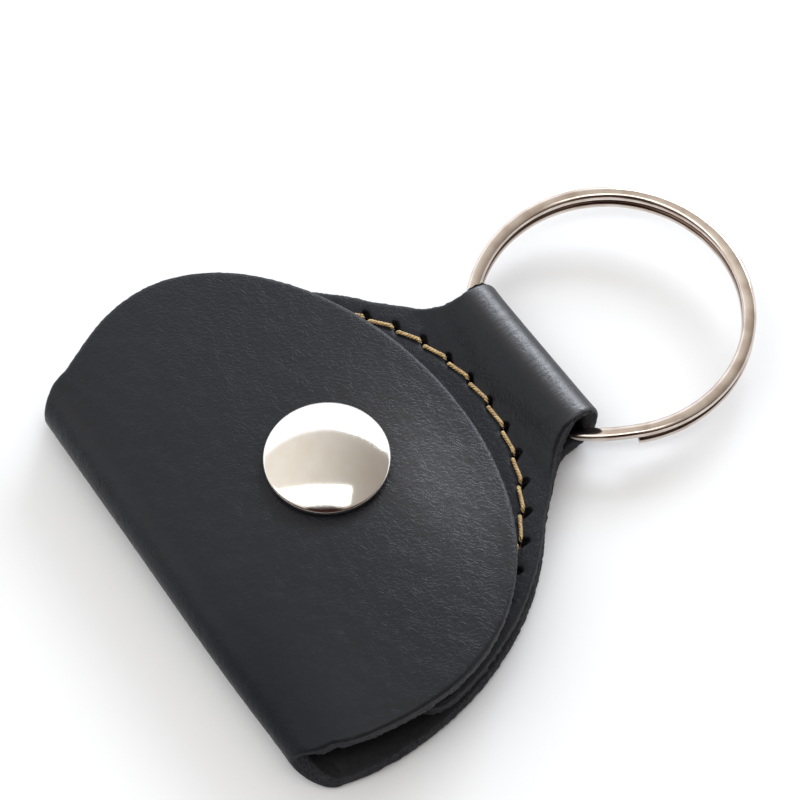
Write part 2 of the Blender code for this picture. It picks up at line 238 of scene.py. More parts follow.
def add_world():
    """Room round the table: white wall behind, cream to taupe overhead, dark in front round the camera."""
    world = bpy.data.worlds.new("pale_room")
    bpy.context.scene.world = world
    world.use_nodes = True
    tree = world.node_tree
    background = tree.nodes["Background"]
    place = tree.nodes.new("ShaderNodeTexCoord")

    def region(normal, low, high):
        """How far a direction lies on the normal's side of a plane, from 0 at low to 1 at high."""
        side = tree.nodes.new("ShaderNodeVectorMath")
        side.operation = "DOT_PRODUCT"
        feed(tree, side.inputs[0], place.outputs["Generated"])
        feed(tree, side.inputs[1], normal)
        return smooth_span(tree, side.outputs["Value"], low, high)

    cream = (1.10, 1.06, 0.98, 1)
    taupe = (0.42, 0.38, 0.34, 1)
    dark_front = (0.09, 0.055, 0.045, 1)
    dark_camera = (0.03, 0.012, 0.010, 1)
    white_wall = (1.44, 1.48, 1.56, 1)
    room = cream
    for normal, low, high, colour in (
            (from_camera_side(1, 0, 0), -0.9, 0.95, taupe),
            (from_camera_side(0, -0.93, -1), -0.10, 0.12, dark_front),
            (from_camera_side(-0.05, -0.67, 0.74), 0.925, 0.95, dark_camera),
            (from_camera_side(0, 0.83, -1), -0.06, 0.04, white_wall)):
        room = mix_colours(tree, region(normal, low, high), room, colour)
    feed(tree, background.inputs["Color"], room)


def add_floor():
    size = 3.0
    mesh = bpy.data.meshes.new("floor")
    drop = -0.02 * MM
    corners = [(-size, -size, drop), (size, -size, drop), (size, size, drop), (-size, size, drop)]
    mesh.from_pydata(corners, [], [(0, 1, 2, 3)])
    floor = bpy.data.objects.new("floor", mesh)
    bpy.context.scene.collection.objects.link(floor)
    surface = Surface("white_table")
    surface.set("Base Color", (0.92, 0.943, 0.98, 1))
    surface.set("Roughness", 0.6)
    surface.set("Specular IOR Level", 0.3)
    mesh.materials.append(surface.material)


# Materials.

class Surface:
    """A Principled material, built up node by node."""

    def __init__(self, name):
        self.material = bpy.data.materials.new(name)
        self.material.use_nodes = True
        self.tree = self.material.node_tree
        self.shader = self.tree.nodes["Principled BSDF"]

    def set(self, socket, value):
        self.feed(self.shader.inputs[socket], value)

    def feed(self, socket, value):
        feed(self.tree, socket, value)

    def node(self, kind, settings=None, **inputs):
        """A shader node with its settings made and its named inputs fed."""
        made = self.tree.nodes.new("ShaderNode" + kind)
        for name, value in (settings or {}).items():
            setattr(made, name, value)
        for name, value in inputs.items():
            self.feed(made.inputs[name.replace("_", " ")], value)
        return made

    def attribute(self, name, output="Vector"):
        return self.node("Attribute", {"attribute_name": name}).outputs[output]

    def flat_place(self):
        """The mesh's flat attribute, in millimetres."""
        return self.scaled(self.attribute("flat"), (1 / MM, 1 / MM, 1 / MM))

    def math(self, operation, first, second):
        made = self.node("Math", {"operation": operation})
        self.feed(made.inputs[0], first)
        self.feed(made.inputs[1], second)
        return made.outputs[0]

    def scaled(self, vector, scale, turn=0.0):
        """The vector turned about Z, then multiplied by the scale."""
        turned = self.node("Mapping", {"vector_type": "POINT"}, Vector=vector, Rotation=(0, 0, turn))
        made = self.node("VectorMath", {"operation": "MULTIPLY"})
        self.feed(made.inputs[0], turned.outputs[0])
        self.feed(made.inputs[1], scale)
        return made.outputs[0]

    def noise(self, vector, scale, detail=2.0, roughness=0.5):
        made = self.node("TexNoise", None, Vector=vector, Scale=scale, Detail=detail, Roughness=roughness)
        return made.outputs["Fac"]

    def span(self, value, low, high, to_low=0.0, to_high=1.0):
        return smooth_span(self.tree, value, low, high, to_low, to_high)

    def mix(self, factor, first, second):
        return mix_colours(self.tree, factor, first, second)

    def blend(self, factor, first, second):
        """Mix of two numbers."""
        made = self.node("Mix", {"data_type": "FLOAT"})
        self.feed(made.inputs[0], factor)
        self.feed(made.inputs[2], first)
        self.feed(made.inputs[3], second)
        return made.outputs[0]

    def bump(self, height, depth):
        """Relief of the given depth in metres, for a height from 0 to 1."""
        made = self.node("Bump", None, Height=height, Distance=depth, Strength=1.0)
        self.feed(self.shader.inputs["Normal"], made.outputs["Normal"])
        self.feed(self.shader.inputs["Coat Normal"], made.outputs["Normal"])


def grain_height(surface, flat):
    """Smooth calf grain: fine creases in one direction, pores between them, and a slow swell."""
    crease_turn = -CAMERA_AZIMUTH
    warp = surface.node("TexNoise", None, Vector=flat, Scale=0.45, Detail=2.0)
    swayed = surface.node("VectorMath", {"operation": "MULTIPLY_ADD"})
    for socket, value in zip(swayed.inputs, (warp.outputs["Color"], (2.4, 2.4, 2.4), flat)):
        surface.feed(socket, value)
    creased = surface.scaled(swayed.outputs[0], (1.2, 2.2, 1.6), turn=crease_turn)
    cells = surface.node(
        "TexVoronoi", {"feature": "DISTANCE_TO_EDGE"}, Vector=creased, Scale=1.0, Randomness=1.0)
    plates = surface.span(cells.outputs["Distance"], 0.0, 0.28)
    fine = surface.noise(creased, 2.4, detail=3.0, roughness=0.6)
    pores = surface.noise(flat, 9.0, detail=1.0)
    height = surface.math("MULTIPLY", plates, 0.34)
    height = surface.math("ADD", height, surface.math("MULTIPLY", fine, 0.75))
    return surface.math("ADD", height, surface.math("MULTIPLY", pores, 0.30))


def leather_material():
    """Black leather: smooth grain outside, suede inside and a rough, paler cut edge between them.

    The mesh carries its flat-cut place in metres (flat), its side (1 grain, 0 edge, -1 suede) and a wear and
    sheen
    mask from 0 to 1: polish from wear, painted sheen where it is raised and painted shade where it is
    lowered. The mask weights the coat, and where it is highest the colour turns paler in streaks: partly dye
    lost to wear, partly a painted highlight.
    """
    surface = Surface("black_leather")
    flat = surface.flat_place()
    side = surface.attribute("side", "Fac")
    worn = surface.attribute("worn", "Fac")
    ragged = surface.math("MULTIPLY", surface.math("SUBTRACT", surface.noise(flat, 2.2, 3.0), 0.5), 0.5)
    uneven = surface.math("ADD", side, ragged)
    grain = surface.span(uneven, 0.25, 0.75)
    suede = surface.span(uneven, -0.45, -0.85)

    patches = surface.noise(flat, 0.11, 3.0)
    dye = surface.mix(patches, (0.0070, 0.0073, 0.0100, 1), (0.0108, 0.0114, 0.0152, 1))
    fibres = surface.noise(surface.scaled(flat, (1.0, 1.0, 3.5)), 3.0, 4.0, 0.7)
    cut = surface.mix(surface.span(fibres, 0.3, 0.7), (0.012, 0.012, 0.014, 1), (0.060, 0.061, 0.068, 1))
    fluff = surface.noise(flat, 1.3, 4.0, 0.7)
    nap = surface.mix(fluff, (0.010, 0.010, 0.011, 1), (0.030, 0.030, 0.033, 1))
    streaks = surface.noise(surface.scaled(flat, (2.8, 0.45, 1.0)), 1.0, 3.0, 0.65)
    streaked = surface.span(streaks, 0.32, 0.68, 0.25, 1.0)
    # Paler streaks where the wear and sheen mask is high: partly dye lost to wear, partly a painted
    # highlight.
    rub_and_sheen = surface.math("MULTIPLY", surface.span(worn, 0.30, 0.75), streaked)
    rubbed_and_lit = surface.mix(rub_and_sheen, dye, (0.088, 0.092, 0.112, 1))
    colour = surface.mix(suede, surface.mix(grain, cut, rubbed_and_lit), nap)
    surface.set("Base Color", colour)

    gloss = surface.blend(surface.noise(flat, 0.35, 3.0), 0.38, 0.50)
    gloss = surface.blend(rub_and_sheen, gloss, 0.28)
    surface.set("Roughness", surface.blend(grain, 0.85, gloss))
    surface.set("Specular IOR Level", 0.17)
    surface.set("Specular Tint", (0.78, 0.86, 1.0, 1))
    # The mask sets the coat's weight: painted sheen where it is high, painted shade where it is low.
    surface.set("Coat Weight", worn)
    surface.set("Coat Roughness", 0.40)
    surface.set("Coat IOR", 1.8)

    smooth = grain_height(surface, flat)
    rough = surface.math("MULTIPLY", fibres, 3.0)
    surface.bump(surface.blend(grain, rough, smooth), 0.042 * MM)
    return surface.material


def thread_material():
    """Golden tan thread, streaked along its plies from dark brown to pale gold: partly the fibres' own tone,
    partly painted highlights and painted shade.
    """
    surface = Surface("golden_thread")
    along = surface.flat_place()
    fibres_and_painted_light = surface.noise(surface.scaled(along, (1.5, 14.0, 14.0)), 1.0, 3.0, 0.7)
    # Dark brown to pale gold: the pale streaks are partly painted highlights, the dark ones partly painted
    # shade.
    dye = surface.mix(surface.span(fibres_and_painted_light, 0.3, 0.7), (0.26, 0.13, 0.03, 1), (1.0, 0.76, 0.38, 1))
    surface.set("Base Color", dye)
    surface.set("Roughness", 0.36)
    surface.set("Sheen Weight", 0.25)
    surface.bump(fibres_and_painted_light, 0.03 * MM)
    return surface.material


def nickel_material(name, colour, tarnish, roughness, drawn=(1.0, 1.0, 1.0)):
    """Nickel plate with faint scuff marks, and dark brown painted shade where the mesh carries a shade mask.

    drawn stretches the marks along the metal's own direction.
    """
    surface = Surface(name)
    place = surface.flat_place()
    marks = surface.noise(surface.scaled(place, drawn), 2.0, 4.0, 0.6)
    cloud = surface.noise(place, 0.35, 2.0)
    plate = surface.mix(surface.span(cloud, 0.35, 0.75), colour, tarnish)
    # Dark brown painted shade where the mesh carries the mask.
    grime = surface.attribute("grime", "Fac")
    surface.set("Base Color", surface.mix(grime, plate, (0.085, 0.045, 0.032, 1)))
    surface.set("Metallic", 1.0)
    surface.set("Roughness", surface.blend(marks, roughness * 0.7, roughness * 1.4))
    surface.bump(marks, 0.004 * MM)
    return surface.material


# Mesh helpers.

def add_object(name, mesh, material):
    """Link a bmesh as a named, smooth object with faces that point out."""
    bmesh.ops.recalc_face_normals(mesh, faces=mesh.faces)
    data = bpy.data.meshes.new(name)
    mesh.to_mesh(data)
    mesh.free()
    data.polygons.foreach_set("use_smooth", [True] * len(data.polygons))
    data.materials.append(material)
    made = bpy.data.objects.new(name, data)
    bpy.context.scene.collection.objects.link(made)
    return made


def add_attributes(data, flat, **masks):
    """Store each vertex's flat place and its masks for the materials."""
    place = data.attributes.new("flat", "FLOAT_VECTOR", "POINT")
    place.data.foreach_set("vector", np.asarray(flat, np.float32).ravel())
    for name, values in masks.items():
        mask = data.attributes.new(name, "FLOAT", "POINT")
        mask.data.foreach_set("value", np.asarray(values, np.float32))


def band(first, second):
    """Corners of the faces between two closed rings of vertices."""
    return list(zip(first, first[1:] + first[:1], second[1:] + second[:1], second))


def steps(first, last, count):
    """Even values from first to last, both ends kept."""
    return [first + (last - first) * i / count for i in range(count + 1)]


def full_turn(count):
    """Even angles round a circle."""
    return [2 * math.pi * k / count for k in range(count)]


def resample(points, spacing):
    """Even points along a polyline, both ends kept."""
    points = np.asarray(points, float)
    length = np.concatenate([[0], np.cumsum(np.linalg.norm(np.diff(points, axis=0), axis=1))])
    count = max(2, int(round(length[-1] / spacing)))
    wanted = np.linspace(0, length[-1], count + 1)
    return np.stack([np.interp(wanted, length, points[:, k]) for k in range(points.shape[1])], axis=1)


# Leather outlines.

def ellipse_width(y, half_width, centre, rise, drop):
    reach = rise if y > centre else drop
    part = min(1.0, abs(y - centre) / reach)
    return half_width * math.sqrt(1 - part * part)


def neck_width(y):
    """Half width of the tab, which flares softly into the panel below the neck."""
    below = NECK_Y - y
    return TAB_HALF_WIDTH + (below + math.hypot(below, NECK_SOFTNESS)) / 2


def panel_width(y):
    body = ellipse_width(y, PANEL_HALF_WIDTH, PANEL_CENTRE_Y, PANEL_RISE, PANEL_DROP)
    return max(body, neck_width(y)) if y > NECK_START_Y else body


def flap_width(y):
    return ellipse_width(y, FLAP_HALF_WIDTH, FLAP_CENTRE_Y, FLAP_RISE, FLAP_DROP)


def spine_width(turn):
    """Half width round the bottom fold, from -90 degrees at the back to 90 at the flap."""
    end = panel_width(FOLD_Y) if turn < 0 else flap_width(FOLD_Y)
    return FOLD_WAIST + (end - FOLD_WAIST) * math.sin(turn) ** 2


# Leather sheets: a flat outline wrapped along a path.

class Path:
    """Middle line of a bent strip: (y, z) and half width against the distance s along it.

    It is given as stations of y, z and half width, close together but unevenly spaced.
    """

    def __init__(self, stations, outward):
        fine = resample(stations, PATH_SPACING)
        line = self.softened(fine[:, :2], 5)
        gaps = np.linalg.norm(np.diff(line, axis=0), axis=1)
        self.s = np.concatenate([[0], np.cumsum(gaps)])
        self.line = line
        self.width = fine[:, 2]
        along = self.softened(np.gradient(line, self.s, axis=0), 3)
        along /= np.linalg.norm(along, axis=1)[:, None]
        self.normal = np.stack([along[:, 1], -along[:, 0]], axis=1) * outward
        self.length = self.s[-1]

    @staticmethod
    def softened(values, reach):
        """Moving average that leaves the two ends where they are."""
        padded = np.concatenate([
            2 * values[:1] - values[reach:0:-1], values, 2 * values[-1:] - values[-2:-reach - 2:-1]])
        window = np.ones(2 * reach + 1) / (2 * reach + 1)
        return np.stack([np.convolve(padded[:, k], window, "valid") for k in range(values.shape[1])], axis=1)

    def at(self, values, s):
        return np.interp(s, self.s, values)

    def place(self, x, s, h):
        """World points of flat places x, s at height h outside the middle line."""
        y = self.at(self.line[:, 0], s) + self.at(self.normal[:, 0], s) * h
        z = self.at(self.line[:, 1], s) + self.at(self.normal[:, 1], s) * h
        return np.stack([x, y, z], axis=1)

    def bent(self, s):
        """Whether the strip bends at each s."""
        reach = 0.5 * MM
        turned = [self.at(part, s + reach) - self.at(part, s - reach) for part in self.normal.T]
        return np.hypot(*turned) > 0.08


# Sections of cut edges, in millimetres: distance into the leather, height over the middle, and side mask.
EDGE_SECTION = [
    (0.55, 0.900, 1.0), (0.34, 0.875, 1.0), (0.19, 0.810, 1.0), (0.08, 0.705, 0.75), (0.02, 0.560, 0.35),
    (0.00, 0.300, 0.0), (0.00, 0.000, 0.0), (0.01, -0.320, -0.1), (0.05, -0.600, -0.3), (0.15, -0.790, -0.6),
    (0.30, -0.875, -0.9), (0.50, -0.900, -1.0),
]
SLIT_SECTION = [
    (0.36, 0.900, 1.0), (0.26, 0.865, 1.0), (0.17, 0.790, 1.0), (0.10, 0.680, 1.0), (0.03, 0.520, 0.9),
    (0.00, 0.250, 0.3), (0.00, -0.500, 0.0), (0.02, -0.800, -0.5), (0.20, -0.900, -1.0),
]
POST_SECTION = [
    (0.30, 0.900, 1.0), (0.05, 0.850, 0.8), (0.00, 0.600, 0.0), (0.00, -0.850, -0.5), (0.30, -0.900, -1.0),
]


class Sheet:
    """Flat cut sheet with holes, meshed on both faces and wrapped along its path."""

    def __init__(self, path, rim, holes, is_fine):
        self.path = path
        self.rim = rim
        self.holes = holes
        self.is_fine = is_fine
        self.flat = []
        self.heights = []
        self.sides = []
        self.on_rim = []
        self.faces = []

    def add(self, points, height, side, on_rim):
        """Add vertices at flat places and return their indices."""
        first = len(self.flat)
        for x, s in points:
            self.flat.append((x, s))
            self.heights.append(height)
            self.sides.append(side)
            self.on_rim.append(on_rim)
        return list(range(first, len(self.flat)))

    def inward(self):
        """Unit direction into the sheet for each outline point; straight across at the seam."""
        ahead = np.roll(self.rim, -1, axis=0)
        behind = np.roll(self.rim, 1, axis=0)
        along = ahead - behind
        along /= np.linalg.norm(along, axis=1)[:, None]
        inside = np.stack([-along[:, 1], along[:, 0]], axis=1)
        across = np.stack([-self.rim[:, 0] / abs(self.rim[0, 0]), np.zeros(len(self.rim))], axis=1)
        from_seam = np.clip(self.rim[:, 1:] / (2 * MM), 0, 1)
        return inside * from_seam + across * (1 - from_seam)

    def build(self):
        """Mesh the cut edge, the walls of the holes and both faces."""
        inside = self.inward()
        outlines = []
        for inset, height, side in EDGE_SECTION:
            on_rim = 1.0 - min(1.0, inset / 0.4)
            outlines.append(self.add(self.rim + inside * inset * MM, height * MM, side, on_rim))
        for first, second in zip(outlines, outlines[1:]):
            self.faces += band(first, second)
        tops = []
        bottoms = []
        for hole in self.holes:
            loop, away = hole.outline()
            rings = [
                self.add(loop + away * out * MM, height * MM, side, 0.0)
                for out, height, side in hole.section]
            for first, second in zip(rings, rings[1:]):
                self.faces += band(first, second)
            tops.append(rings[0])
            bottoms.append(rings[-1])
        fill = self.fill_points(outlines[0] + [i for ring in tops for i in ring])
        self.cover(outlines[0], tops, fill, HALF, 1.0)
        self.cover(outlines[-1], bottoms, fill, -HALF, -1.0)

    def fill_points(self, fixed):
        """Staggered points over the inside of the sheet, closer together where is_fine asks."""
        tree = kdtree.KDTree(len(fixed))
        for i, index in enumerate(fixed):
            tree.insert((*self.flat[index], 0), i)
        tree.balance()
        row = FILL_SPACING * math.sqrt(3) / 2
        reach = int(max(self.path.width) / FILL_SPACING) + 1
        j, i = np.mgrid[0:int(self.path.length / row) + 1, -reach:reach + 1]
        x = (i + 0.5 * (j % 2)) * FILL_SPACING
        s = j * row
        detailed = self.is_fine(x, s)
        bent = self.path.bent(s) & ((i + j // 2) % 2 == 0)
        coarse = (i % 2 == 0) & (j % 2 == 0)
        kept = (np.abs(x) < self.path.at(self.path.width, s)) & (detailed | bent | coarse)
        for hole in self.holes:
            kept &= hole.distance(x, s) > hole.section[0][0] * MM
        found = []
        for px, ps, close in zip(x[kept], s[kept], (detailed | bent)[kept]):
            if tree.find((px, ps, 0))[2] > (0.30 if close else 0.5) * MM:
                found.append((px, ps))
        return found

    @staticmethod
    def within(outline, places):
        """Whether each place lies inside the outline, from its crossings to the right."""
        inside = np.zeros(len(places), bool)
        for (x1, s1), (x2, s2) in zip(outline, outline[1:] + outline[:1]):
            if s1 == s2:
                continue
            passes = (s1 > places[:, 1]) != (s2 > places[:, 1])
            crossing = x1 + (places[:, 1] - s1) * (x2 - x1) / (s2 - s1)
            inside ^= passes & (places[:, 0] < crossing)
        return inside

    def cover(self, outline, loops, fill, height, side):
        """Triangulate one face between its outline and its holes, through the fill points."""
        inner = self.add(fill, height, side, 0.0)
        indices = outline + [i for ring in loops for i in ring] + inner
        points = [Vector(self.flat[i]) / MM for i in indices]
        edges = []
        start = 0
        for ring in [outline] + loops:
            edges += [(start + i, start + (i + 1) % len(ring)) for i in range(len(ring))]
            start += len(ring)
        vertices, _, triangles, sources, _, _ = delaunay_2d_cdt(points, edges, [], 1, 1e-5, True)
        corners = np.array(triangles)
        middles = np.array([tuple(v) for v in vertices])[corners].mean(axis=1) * MM
        kept = self.within([self.flat[i] for i in outline], middles)
        for hole in self.holes:
            out = hole.section[0][0] if height > 0 else hole.section[-1][0]
            kept &= hole.distance(middles[:, 0], middles[:, 1]) > out * 0.98 * MM
        for triangle in corners[kept]:
            self.faces.append(tuple(indices[sources[v][0]] for v in triangle))


class Hole:
    """Slit with round ends, or a round hole where its length and width are equal."""

    def __init__(self, centre, turn, length, width, section, count):
        self.centre = np.array(centre)
        self.along = np.array((math.cos(turn), math.sin(turn)))
        self.straight = (length - width) / 2
        self.radius = width / 2
        self.section = section
        self.count = count

    def outline(self):
        """Points of the hole's wall and the direction out of it at each one."""
        across = np.array((-self.along[1], self.along[0]))
        angles = 2 * math.pi * (np.arange(self.count) + 0.5) / self.count
        away = np.cos(angles)[:, None] * self.along + np.sin(angles)[:, None] * across
        ends = np.sign(np.cos(angles))[:, None] * self.straight * self.along
        return self.centre + ends + away * self.radius, away

    def distance(self, x, s):
        """Distance outside the hole's wall, negative within it."""
        along = (x - self.centre[0]) * self.along[0] + (s - self.centre[1]) * self.along[1]
        across = (s - self.centre[1]) * self.along[0] - (x - self.centre[0]) * self.along[1]
        return np.hypot(np.maximum(np.abs(along) - self.straight, 0), across) - self.radius


def bell(distance, reach, power=2):
    """One at no distance, falling smoothly to almost nothing at twice the reach."""
    return np.exp(-(distance / reach) ** power)


def hole_angles():
    """Where the stitch holes lie along the stitched arc, from right to left."""
    pitch = STITCH_PITCH / STITCH_RADIUS
    first = math.pi / 2 - pitch * (STITCH_HOLES - 1) / 2
    return [first + pitch * i for i in range(STITCH_HOLES)]


def slit_places():
    """Centre and direction of each slit in plan: each one leans 45 degrees across the stitch line."""
    radius = STITCH_RADIUS + SLIT_SHIFT
    return [(radius * math.cos(a), radius * math.sin(a), a + math.radians(45)) for a in hole_angles()]


def skewed(rim, from_fold):
    """The outline moved sideways near the fold, where the strip was folded a little askew."""
    return rim + np.stack([FOLD_SKEW * bell(from_fold, FOLD_SKEW_REACH), np.zeros(len(rim))], axis=1)


def sheet_rim(cuts, seam_width):
    """Closed outline of a sheet: the seam from left to right, then round the cut edge.

    The seam bows out by a hair, so that the flat triangulation has no slivers along it.
    """
    seam = resample([(-seam_width, 0), (seam_width, 0)], SEAM_SPACING)
    seam[:, 1] = -SEAM_BOW * (1 - (seam[:, 0] / seam_width) ** 2)
    right = np.array(cuts)
    left = right[::-1] * (-1, 1)
    meets_at_tip = abs(right[-1, 0]) < 1e-9
    edge = resample(np.concatenate([right, left[1:] if meets_at_tip else left]), RIM_SPACING)
    return np.concatenate([seam, edge[1:-1]])


def wrap(name, sheet, material, relief, shag):
    """Turn a sheet into an object: mesh it, add relief and a shaggy cut edge, and wrap it on its path."""
    sheet.build()
    flat = np.array(sheet.flat)
    height = np.array(sheet.heights)
    on_rim = np.array(sheet.on_rim)
    side = np.array(sheet.sides)
    x, s = flat[:, 0], flat[:, 1]
    lift, worn = relief(x, s, height)
    inside = sheet.inward()
    rim_count = len(sheet.rim)
    push = np.zeros((len(flat), 2))
    for index in range(rim_count * len(EDGE_SECTION)):
        spot = Vector((x[index], s[index], height[index])) / MM
        shaggy = (0.045 + 0.08 * max(0.0, 0.5 - spot.z)) * shag
        wobble = noise.noise(spot * 0.25) * 0.03 + noise.noise(spot * 2.6) * shaggy
        wobble += noise.noise(spot * 5.5) * shaggy * 0.9
        from_seam = min(1.0, s[index] / (3 * MM))
        push[index] = -inside[index % rim_count] * wobble * on_rim[index] * MM * from_seam
    points = sheet.path.place(x + push[:, 0], s + push[:, 1], height + lift)
    mesh = bmesh.new()
    corners = [mesh.verts.new(p) for p in points]
    for face in sheet.faces:
        mesh.faces.new([corners[i] for i in face])
    made = add_object(name, mesh, material)
    add_attributes(made.data, np.stack([x, s, height], axis=1), side=side, worn=worn)
    return made


# The strip's back, ring tab and pocket.

def tab_bend_stations(centre_z, first, last):
    """Places round one of the two bends where the tab turns about the ring."""
    found = []
    for turn in steps(first, last, 24):
        y = TAB_BEND_Y + TAB_BEND * math.cos(turn)
        found.append((y, centre_z + TAB_BEND * math.sin(turn), neck_width(y)))
    return found


def pouch_path():
    """From the seam along the back, round the ring and back along the pocket to its mouth."""
    stations = [(y, HALF, panel_width(y)) for y in steps(FOLD_Y, TAB_BEND_Y, 300)]
    stations += tab_bend_stations(HALF + TAB_BEND, -math.pi / 2, 0)[1:]
    stations += tab_bend_stations(TAB_TOP_MID - TAB_BEND, 0, math.pi / 2)
    for part in steps(1.0, 0.0, 60)[1:]:
        y = TAB_RAMP_Y + (TAB_BEND_Y - TAB_RAMP_Y) * part
        z = POCKET_MID + (TAB_TOP_MID - POCKET_MID) * (1 - math.cos(math.pi * part)) / 2
        stations.append((y, z, neck_width(y)))
    for y in steps(TAB_RAMP_Y, MOUTH_Y, 250)[1:]:
        inset = POCKET_INSET * min(1.0, (TAB_RAMP_Y - y) / (6 * MM))
        stations.append((y, POCKET_MID, panel_width(y) - inset))
    return Path(stations, 1)


def pouch_rim(path):
    """Cut outline, with round corners at the pocket's mouth."""
    cuts = []
    for s, half in zip(path.s, path.width):
        left = path.length - s
        if left < MOUTH_CORNER:
            break
        cuts.append((half, s))
    for turn in steps(0, math.pi / 2, 20):
        s = path.length - MOUTH_CORNER * (1 - math.sin(turn))
        cuts.append((path.at(path.width, s) - MOUTH_CORNER * (1 - math.cos(turn)), s))
    return sheet_rim(cuts, path.width[0])


def leg_reader(path):
    """Functions from s to y, and from y on either leg to s, and the s of the bend between the legs."""
    top_of_bend = path.s[np.argmax(path.line[:, 0])]

    def y_at(s):
        return path.at(path.line[:, 0], s)

    def s_for(y, pocket):
        legs = path.s > top_of_bend if pocket else path.s < top_of_bend
        order = np.argsort(path.line[legs, 0])
        return np.interp(y, path.line[legs, 0][order], path.s[legs][order])

    return y_at, s_for, top_of_bend


def pouch_leather(material):
    """Back, ring tab and pocket in one sheet, with the stitch slits and the snap's hole."""
    path = pouch_path()
    y_at, s_for, middle_s = leg_reader(path)
    holes = []
    for x, y, lean in slit_places():
        for pocket in (False, True):
            turn = -lean if pocket else lean
            holes.append(Hole((x, s_for(y, pocket)), turn, SLIT_LENGTH, SLIT_WIDTH, SLIT_SECTION, 20))
    holes.append(Hole((0, s_for(SNAP.y, True)), 0, POST_HOLE, POST_HOLE, POST_SECTION, 32))
    tab_start = s_for(TAB_RAMP_Y, False)
    tab_end = s_for(TAB_RAMP_Y, True)
    shine_s = s_for(TAB_BEND_Y + 0.3 * MM, True)

    def is_fine(x, s):
        y = y_at(s)
        near_stitches = (np.abs(np.hypot(x, y) - STITCH_RADIUS) < 1.7 * MM) & (y > SEWN_Y)
        near_seat = (s > middle_s) & (np.abs(np.hypot(x, y - SNAP.y) - EYELET_SEAT) < 0.6 * MM)
        return near_stitches | near_seat | ((tab_start < s) & (s < tab_end))

    def relief(x, s, height):
        """Sink along the stitches, a slow swell, the ring's print in the tab and the eyelet's seat."""
        y = y_at(s)
        top = s > middle_s
        outer = height > 0
        from_line = np.hypot(x, y) - STITCH_RADIUS
        sewn = (y > SEWN_Y) & ((s < tab_start) | (s > tab_end))
        lift = np.where(outer & sewn, -0.10 * MM * bell(from_line, 0.45 * MM), 0.0)
        swell = np.array([noise.noise(Vector((a, b, 3.0)) * 90.0) for a, b in zip(x, s)])
        lift += 0.05 * MM * swell * np.clip(s / (8 * MM), 0, 1) * (s > tab_start)
        from_wire = np.hypot(x, y - RING_CENTRE.y) - (RING_RADIUS - WIRE_WIDTH / 2)
        over_ring = top & (y > TAB_RAMP_Y - 1.5 * MM) & (s < tab_end + 2 * MM)
        lift += np.where(over_ring & outer, 0.14 * MM * bell(from_wire, 1.5 * MM), 0.0)
        lift += np.where(over_ring & ~outer, 1.0 * MM * bell(from_wire, 1.0 * MM, power=4), 0.0)
        in_seat = np.hypot(x, y - SNAP.y) < EYELET_SEAT
        lift += np.where(top & ~outer & in_seat, 0.45 * MM, 0.0)
        # Wear and sheen mask: a painted highlight band, paler and glossier, along the outside of the tab's
        # bend, partly real wear; low and even elsewhere.
        worn = np.where(outer, 0.10 + 0.56 * bell(s - shine_s, 0.95 * MM), 0.04)
        return lift, worn

    rim = pouch_rim(path)
    rim = skewed(rim, rim[:, 1] + FOLD_RADIUS * math.pi / 2)
    sheet = Sheet(path, rim, holes, is_fine)
    made = wrap("pouch_leather", sheet, material, relief, shag=1.9)
    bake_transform(made)
    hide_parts("back_panel", "ring_loop", "pocket_panel")


# The strip's bottom fold and front flap.

def flap_path():
    """From the seam round the bottom fold, then up the flap, which sags a little towards the fold."""
    stations = []
    for turn in steps(-math.pi / 2, math.pi / 2, 120):
        y = FOLD_Y - FOLD_RADIUS * math.cos(turn)
        stations.append((y, FOLD_Z + FOLD_RADIUS * math.sin(turn) - flap_sag(y, turn), spine_width(turn)))
    for y in steps(FOLD_Y, FLAP_CENTRE_Y, 100)[1:]:
        stations.append((y, FLAP_MID - flap_sag(y, math.pi / 2), flap_width(y)))
    for turn in steps(0, math.pi / 2, 300)[1:]:
        y = FLAP_CENTRE_Y + FLAP_RISE * math.sin(turn)
        stations.append((y, FLAP_MID - flap_sag(y, math.pi / 2), FLAP_HALF_WIDTH * math.cos(turn)))
    return Path(stations, -1)


def flap_sag(y, turn):
    """How far the flap lies below its plane towards the fold."""
    to_fold = np.clip((SNAP.y - 3 * MM - y) / (13 * MM), 0, 1)
    return 0.8 * MM * to_fold ** 2 * np.clip(math.sin(turn), 0, 1)


def hand_cut(rim, flat_origin):
    """The flap's outline as cut by hand, up to 0.8 mm off the even curve and true again at the fold."""
    y = rim[:, 1] - flat_origin
    half_height = np.where(y > FLAP_CENTRE_Y, FLAP_RISE, FLAP_DROP)
    angle = np.arctan2((y - FLAP_CENTRE_Y) / half_height, rim[:, 0] / FLAP_HALF_WIDTH)
    off = 0.13 + 0.19 * np.cos(angle) - 0.14 * np.cos(2 * angle) - 0.33 * np.sin(2 * angle)
    off += -0.60 * np.cos(3 * angle) + 0.17 * np.sin(3 * angle)
    off *= np.clip((y - FOLD_Y) / (4 * MM), 0, 1) * MM
    along = np.roll(rim, -1, axis=0) - np.roll(rim, 1, axis=0)
    along /= np.linalg.norm(along, axis=1)[:, None]
    return rim + np.stack([along[:, 1], -along[:, 0]], axis=1) * off[:, None]


